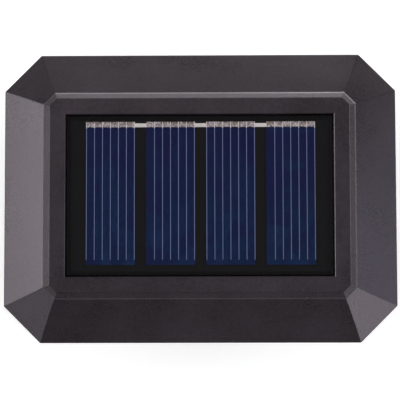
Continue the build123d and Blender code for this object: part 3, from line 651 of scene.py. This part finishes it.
# %% Ribbon between the cells
jumper_width = 1.05 * mm
jumper_back = 0.22 * mm
jumper_lap = 0.9 * mm
ribbon_edge = 0.05 * mm
jumpers = bmesh.new()
jumper_ends = [(left[1].x, right[0].x) for left, right in zip(cell_boxes, cell_boxes[1:])]
for left_x, right_x in jumper_ends:
    low_y = ribbon_low.y + jumper_back
    low = Vector((left_x - jumper_lap, low_y, ribbon_low.z))
    high = Vector((right_x + jumper_lap, low_y + jumper_width, ribbon_high.z))
    add_bar(jumpers, low, high, ribbon_edge)
add_piece("ribbon_jumpers", jumpers, "tinned_ribbon", ["tab_ribbon"])

# %% Ends of the collector lines, standing out of the solder
finger_pitch = 2.19 * mm
finger_width = 0.2 * mm
finger_count = 7
finger_rise = 0.3 * mm
stubs = bmesh.new()
for number, (cell_low, cell_high) in enumerate(cell_boxes):
    last_x = (cell_low.x + cell_high.x + (finger_count - 1) * finger_pitch) / 2
    for finger in range(finger_count - number % 2):
        finger_x = last_x - finger * finger_pitch
        low = Vector((finger_x - finger_width / 2, ribbon_low.y - ragged, ribbon_low.z))
        high_y = ribbon_high.y + solder_back + solder_spare / 2 - ragged
        high = Vector((finger_x + finger_width / 2, high_y, ribbon_low.z + finger_rise))
        add_bar(stubs, low, high, ribbon_edge)
add_piece("finger_ends", stubs, "tinned_ribbon", ["tab_ribbon"])

# %% [markdown]
# ## Spring and leads
# The battery's spring is a tapered coil of wire, and the leads are soft insulated wire. Both are one line
# with a round section, so both are curves: the spring's turns come from a formula, and each lead is a smooth
# spline that follows the few points of its route, bent by its own stiffness and not at sharp corners.


# %% Round wire along a line
def add_wire(name, lines, radius, slot, replaced):
    """Round wire along one or more lines of points, as a curve with its ends closed."""
    curve = bpy.data.curves.new(name, "CURVE")
    curve.dimensions = "3D"
    curve.bevel_depth = radius
    curve.bevel_resolution = 5
    curve.resolution_u = 8
    curve.use_fill_caps = True
    for points in lines:
        spline = curve.splines.new("NURBS")
        spline.points.add(len(points) - 1)
        for control, point in zip(spline.points, points):
            control.co = (*point, 1.0)
        spline.order_u = 3
        spline.use_endpoint_u = True
    curve.materials.append(finishes[slot])
    wire = bpy.data.objects.new(name, curve)
    bpy.context.collection.objects.link(wire)
    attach(wire, "light")
    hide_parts(*replaced)
    print(f"{name}: {len(lines)} line(s), {2 * radius / mm:.1f} mm thick")


# %% Battery spring
spring_low, spring_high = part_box("battery_spring")
spring_wire = 0.7 * mm
base_radius = 4.2 * mm
tip_radius = 2.8 * mm
spring_turns = 4
steps_per_turn = 24
spring_axis_z = (battery_low.z + battery_high.z) / 2
foot_x = spring_low.x + spring_wire / 2
tip_x = spring_high.x - spring_wire / 2
coil = []
for step in range(spring_turns * steps_per_turn + 1):
    share = step / (spring_turns * steps_per_turn)
    angle = math.tau * step / steps_per_turn
    reach = base_radius + (tip_radius - base_radius) * share
    along_x = foot_x + (tip_x - foot_x) * share
    coil.append((along_x, reach * math.cos(angle), spring_axis_z + reach * math.sin(angle)))
add_wire("spring_coil", [coil], spring_wire / 2, "plated_steel", ["battery_spring"])

# %% Leads of the module and of the switch
lead_radius = 0.6 * mm
lead_straight = 2.0 * mm
straight_at_module = 2 * lead_straight
straight_at_board = 3 * lead_straight
board_top_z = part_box("circuit_board")[1].z
for colour in ("red", "black"):
    low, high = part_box(f"panel_lead_{colour}")
    lead_x = (low.x + high.x) / 2
    front_y = low.y + lead_radius
    back_y = high.y - lead_radius
    knee_z = (low.z + high.z) / 2
    route = [
        (lead_x, back_y, high.z),
        (lead_x, back_y, high.z - straight_at_module),
        (lead_x, (front_y + back_y) / 2, knee_z),
        (lead_x, front_y, low.z + straight_at_board),
        (lead_x, front_y, low.z),
    ]
    add_wire(f"module_lead_{colour}", [route], lead_radius, f"lead_{colour}", [f"panel_lead_{colour}"])

low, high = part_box("switch_leads")
terminal_top_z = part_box("switch_terminals")[1].z
near_y = high.y - lead_radius
far_y = low.y + lead_radius
top_z = high.z - lead_radius
routes = []
for lead_x in (low.x + lead_radius, high.x - lead_radius):
    routes.append(
        [
            (lead_x, near_y, terminal_top_z),
            (lead_x, near_y, terminal_top_z + lead_straight),
            (lead_x, near_y, top_z),
            (lead_x, far_y, top_z),
            (lead_x, far_y, board_top_z + lead_straight),
            (lead_x, far_y, board_top_z),
        ]
    )
add_wire("switch_lead_pair", routes, lead_radius, "lead_red", ["switch_leads"])

# %% [markdown]
# ## Lamps
# Each lamp is a cast bullet of clear resin with a small steel frame in it: a cup that holds the glowing chip
# and two legs that go down to the board. The resin is turned from its outline about the lamp's axis, and the
# frame is a lathe-turned cup and bars.


# %% Turn an outline
weld_distance = 0.001 * mm


def turned(bm, outline, origin, direction, steps=32):
    """Turn an outline of (reach, height) points about an axis through the origin."""
    towards = Vector(direction).to_track_quat("Z", "Y").to_matrix().to_4x4()
    shape = Matrix.Translation(origin) @ towards
    points = [bm.verts.new(shape @ Vector((reach, 0.0, height))) for reach, height in outline]
    edges = [bm.edges.new(pair) for pair in zip(points, points[1:])]
    bmesh.ops.spin(
        bm,
        geom=points + edges,
        cent=origin,
        axis=direction,
        angle=math.tau,
        steps=steps,
        use_merge=True,
        use_duplicate=False,
    )
    bmesh.ops.remove_doubles(bm, verts=bm.verts, dist=weld_distance)


# %% Outlines of the resin and of the cup
lamp_radius = 2.5 * mm
flange_radius = 2.9 * mm
flange_depth = 1.0 * mm
barrel_length = 6.1 * mm
dome_steps = 10
cup_radius = 1.0 * mm
cup_floor_radius = 0.45 * mm
cup_foot = 0.4 * mm
cup_floor = 1.6 * mm
cup_rim = 2.4 * mm
cup_steps = 20
flange = [(0.0, -flange_depth), (flange_radius, -flange_depth), (flange_radius, 0.0), (lamp_radius, 0.0)]
dome = [
    (lamp_radius * math.cos(turn), barrel_length + lamp_radius * math.sin(turn))
    for turn in (math.pi / 2 * step / dome_steps for step in range(dome_steps + 1))
]
cup = [
    (0.0, cup_floor),
    (cup_floor_radius, cup_floor),
    (cup_radius, cup_rim),
    (cup_radius, cup_foot),
    (0.0, cup_foot),
]
print(f"lamp outline of {len(flange + dome)} points, cup outline of {len(cup)}")

# %% Lamp resin, cups and legs
leg = 0.5 * mm
leg_edge = 0.06 * mm
leg_spacing = 2.54 * mm
leg_back = 1.5 * mm
for side, side_name in ((-1, "front"), (1, "back")):
    for place_name in ("left", "right"):
        node = f"led_{side_name}_{place_name}"
        low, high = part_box(node)
        tip_y = high.y if side > 0 else low.y
        seat_y = tip_y - side * (barrel_length + lamp_radius)
        axis_z = high.z - flange_radius
        seat = Vector(((low.x + high.x) / 2, seat_y, axis_z))
        bullet = bmesh.new()
        turned(bullet, flange + dome, seat, (0, side, 0))
        add_piece(f"lamp_resin_{side_name}_{place_name}", bullet, "lamp_resin", [node])
        metal = bmesh.new()
        turned(metal, cup, seat, (0, side, 0), steps=cup_steps)
        back_y = seat_y - side * (flange_depth + leg_back)
        level_bar = (*sorted((seat_y - side * flange_depth, back_y)), axis_z - leg / 2)
        upright_bar = (*sorted((back_y, back_y - side * leg)), board_top_z)
        for leg_side in (-1, 1):
            leg_x = seat.x + leg_side * leg_spacing / 2
            for low_y, high_y, low_z in (level_bar, upright_bar):
                bar_low = Vector((leg_x - leg / 2, low_y, low_z))
                bar_high = Vector((leg_x + leg / 2, high_y, axis_z + leg / 2))
                add_bar(metal, bar_low, bar_high, leg_edge)
        add_piece(f"lamp_frame_{side_name}_{place_name}", metal, "plated_steel", [node])

# %% [markdown]
# ## Soft seals
# The door's seal and the two strips at the lens are cut from rubber with rounded lips, and the foam ring
# under the module is as soft. Their solids have the right place and size but knife-sharp edges, so a copy
# of each is merged, its flat faces are joined again, and its edges are rounded.


# %% Rounded copies of the seals
solid_weld = 0.005 * mm
flat_below = math.radians(2.0)
sharp_above = math.radians(60.0)
door_lip = 0.35 * mm
strip_lip = 0.2 * mm


def softened(name, node, slot, lip, body="light"):
    """A copy of a solid with its sharp edges rounded, in the solid's place."""
    bm = bmesh.new()
    bm.from_mesh(nodes[node].data)
    bmesh.ops.remove_doubles(bm, verts=bm.verts, dist=solid_weld)
    bmesh.ops.dissolve_limit(bm, angle_limit=flat_below, verts=bm.verts, edges=bm.edges)
    sharp = [e for e in bm.edges if e.is_manifold and e.calc_face_angle() > sharp_above]
    bmesh.ops.bevel(
        bm, geom=sharp, offset=lip, affect="EDGES", segments=3, profile=0.5, material=-1, clamp_overlap=True
    )
    add_piece(name, bm, slot, [node], body)


softened("door_seal_ring", "door_seal", "seal_rubber", door_lip, "door")
softened("lens_strip_upper", "lens_seal_upper", "seal_rubber", strip_lip)
softened("lens_strip_lower", "lens_seal_lower", "seal_rubber", strip_lip)
softened("foam_ring", "panel_gasket", "foam", strip_lip)

# %% [markdown]
# ## Words at the switch
# Beside the slider the two positions are named in small raised letters, pointing the way the slider goes.
# Blender's text objects hold outlines, not faces, so each word is turned into a mesh, laid face down under
# the deck, and kept a tenth of a millimetre proud of it.


# %% Raised words
def add_word(name, word, size, rise, spot, slot):
    """A word in raised letters that face down, centred on a spot, read with the front of the part upwards."""
    curve = bpy.data.curves.new(name, "FONT")
    curve.body = word
    curve.size = size
    curve.extrude = rise / 2
    curve.align_x = "CENTER"
    curve.align_y = "CENTER"
    carrier = bpy.data.objects.new(name + "_outline", curve)
    bpy.context.collection.objects.link(carrier)
    seen = carrier.evaluated_get(bpy.context.evaluated_depsgraph_get())
    letters = bmesh.new()
    letters.from_mesh(seen.to_mesh())
    bpy.data.objects.remove(carrier)
    bmesh.ops.remove_doubles(letters, verts=letters.verts, dist=weld_distance)
    turn = Matrix.Rotation(math.pi, 4, "X")
    bmesh.ops.transform(letters, matrix=Matrix.Translation(spot) @ turn, verts=letters.verts)
    add_piece(name, letters, slot)


knob_low, knob_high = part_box("switch_knob")
deck_under_z = 34.0 * mm
letter_size = 2.6 * mm
letter_rise = 0.12 * mm
word_reach = 7.0 * mm
knob_x = (knob_low.x + knob_high.x) / 2
knob_y = (knob_low.y + knob_high.y) / 2
knob_spot = Vector((knob_x, knob_y, deck_under_z - letter_rise / 2))
for word, side in (("OFF", -1), ("ON", 1)):
    spot = knob_spot + Vector((side * word_reach, 0.0, 0.0))
    add_word(f"word_{word.lower()}", word, letter_size, letter_rise, spot, "knob_white")

# %% [markdown]
# ## Floor and room
# The part stands on a plain pale floor in a dim room. The floor's white comes from its own colour plus a
# glow that only the eye, gloss and glass see, so it stays white without more light on the object. The glow
# is weaker near the part, where the floor keeps the shadow, and grows with the distance until the floor
# meets the white of the room without a line. Seen from below the floor is open, and light passes it from
# there, so the part can be looked at from below too.

# %% Floor
floor_reach = 1.4
floor_back = 0.45
floor_drop = 0.2 * mm
floor_corners = 96
sheet = bmesh.new()
bmesh.ops.create_circle(sheet, cap_ends=True, segments=floor_corners, radius=floor_reach)
bmesh.ops.translate(sheet, vec=(0.0, floor_back, cad_low.z - floor_drop), verts=sheet.verts)
floor_mesh = bpy.data.meshes.new("floor")
sheet.to_mesh(floor_mesh)
sheet.free()
floor = bpy.data.objects.new("floor", floor_mesh)
bpy.context.collection.objects.link(floor)
print(f"floor {2 * floor_reach:.1f} m across")

# %% Finish the floor
near_glow = 0.5
far_glow = 0.92
glow_start = 0.25
glow_end = 0.8
gloss_share = 0.1
surface, place = start_finish("floor_paper")
tree = finishes["floor_paper"].node_tree
eye = place.node("LightPath", output="Is Camera Ray")
shine = place.node("LightPath", output="Is Glossy Ray")
glass = place.node("LightPath", output="Is Transmission Ray")
bounce = place.node("LightPath", output="Is Diffuse Ray")
shadow = place.node("LightPath", output="Is Shadow Ray")
underside = place.node("NewGeometry", output="Backfacing")
distance = place.node("VectorMath", {"operation": "LENGTH"}, {0: place}, "Value")
glow = mixed(sharpened(distance, glow_start, glow_end), grey(near_glow), grey(far_glow))
connect(
    surface,
    {
        "Base Color": mixed(clouds(place, 60 * mm), grey(0.80), grey(0.82)),
        "Roughness": 0.7,
        "Emission Color": mixed(eye + glass + gloss_share * shine, grey(0.0), glow),
        "Emission Strength": 1.0,
    },
)
below = place.node("BsdfTransparent")
open_to = underside + bounce + shadow
paper = place.node("MixShader", {}, {0: open_to, 1: Wire(surface.outputs[0]), 2: below})
connect(tree.nodes["Material Output"], {"Surface": paper})
floor_mesh.materials.append(finishes["floor_paper"])
print(f"floor glow {near_glow} near the part, {far_glow} from {glow_end} m on")

# %% Room
room_level = 0.07
room_tone = (0.96, 0.97, 1.0, 1.0)
backdrop_share = 0.07
world = bpy.data.worlds.new("dim_room")
world.use_nodes = True
dim = world.node_tree.nodes["Background"]
connect(dim, {"Color": room_tone, "Strength": room_level})
dim = Wire(dim.outputs[0])
eye = dim.node("LightPath", output="Is Camera Ray")
shine = dim.node("LightPath", output="Is Glossy Ray")
glass = dim.node("LightPath", output="Is Transmission Ray")
white = dim.node("Background", {}, {"Color": grey(1.0), "Strength": 1.0})
backdrop = dim.node("MixShader", {}, {0: eye + glass + backdrop_share * shine, 1: dim, 2: white})
connect(world.node_tree.nodes["World Output"], {"Surface": backdrop})
bpy.context.scene.world = world
print(f"room at {room_level}")

# %% [markdown]
# ## Studio light
# Satin plastic shows where the light comes from: each of the eight slopes mirrors, softly, the part of the
# room that it faces. One large lamp would light some slopes and leave the others black, so the light is a
# ring of soft panels. Each is given by its compass direction, its height above the roof, its size and its
# brightness. Low ones near the horizon put the sheen on the skirt, and the brightest of them stands on the
# left. High ones light the cells and the plastic evenly, and one below is there for looking up at the door.


# %% Soft panels
panel_distance = 0.9
watts_per_brightness = 4.0
plain_white = (1.0, 1.0, 1.0)


def soft_lamp(name, size, brightness, tone):
    """A flat lamp of that width and height, whose brightness doesn't depend on them."""
    width, height = size
    lamp = bpy.data.lights.new(name, "AREA")
    lamp.shape = "RECTANGLE"
    lamp.size = width
    lamp.size_y = height
    lamp.energy = brightness * width * height * watts_per_brightness
    lamp.color = tone
    panel = bpy.data.objects.new(name, lamp)
    bpy.context.collection.objects.link(panel)
    print(f"{name}: {width:.2f} by {height:.2f} m, brightness {brightness}")
    return panel


def add_panel(name, azimuth, elevation, size, brightness, tone=plain_white):
    """A soft panel that faces the roof: azimuth 0 is to the right, 90 at the back, 180 to the left."""
    turn = math.radians(azimuth)
    rise = math.radians(elevation)
    towards = Vector((math.cos(turn) * math.cos(rise), math.sin(turn) * math.cos(rise), math.sin(rise)))
    panel = soft_lamp(name, size, brightness, tone)
    panel.location = Vector((0.0, 0.0, roof_high.z)) + towards * panel_distance
    panel.rotation_euler = towards.to_track_quat("Z", "Y").to_euler()


# %% Panels at the horizon, above and below
low_size = (0.5, 0.14)
high_size = (0.6, 0.6)
cool = (0.93, 0.97, 1.16)
warm = (1.02, 1.0, 0.95)
add_panel("left_near", 175, 8, low_size, 6.8)
add_panel("front_right_near", 315, 6.5, low_size, 4.2)
add_panel("front_left_near", 225, 6.5, low_size, 1.45)
add_panel("right_near", 350, 6.5, low_size, 1.75, cool)
add_panel("back_high", 90, 50, high_size, 0.9, warm)
add_panel("right_high", 0, 50, high_size, 2.8)
add_panel("left_high", 180, 50, high_size, 2.4)
add_panel("below", 290, -60, high_size, 6.0)

# %% [markdown]
# ## Light for the rim
# The rim's bevel and the steep step at its foot lean out so far that they mirror the floor beside the part
# and not the panels. A brighter floor would light every slope alike, so a few bright sheets lie on it, each
# where one side of the rim looks, and most of them at the back, where the line at the rim's foot shines.


# %% Sheets on the floor
sheet_rise = 3.0 * mm


def add_sheet(name, left, right, front, back, brightness):
    """A bright sheet that lies on the floor and faces up, between these places in metres."""
    sheet = soft_lamp(name, (right - left, back - front), brightness, plain_white)
    sheet.location = ((left + right) / 2, (front + back) / 2, cad_low.z + sheet_rise)
    sheet.rotation_euler = (math.pi, 0.0, 0.0)


add_sheet("back_sheet_left", -0.08, 0.02, 0.18, 0.24, 4.0)
add_sheet("back_sheet_right", 0.02, 0.10, 0.18, 0.24, 6.4)
add_sheet("back_sheet_far", -0.10, 0.12, 0.28, 0.42, 2.4)
add_sheet("corner_sheet", 0.15, 0.22, 0.14, 0.21, 4.0)
add_sheet("right_sheet", 0.20, 0.26, -0.12, 0.12, 1.6)

# %% Plain view of colours
bpy.context.scene.view_settings.view_transform = "Standard"
print("view transform:", bpy.context.scene.view_settings.view_transform)
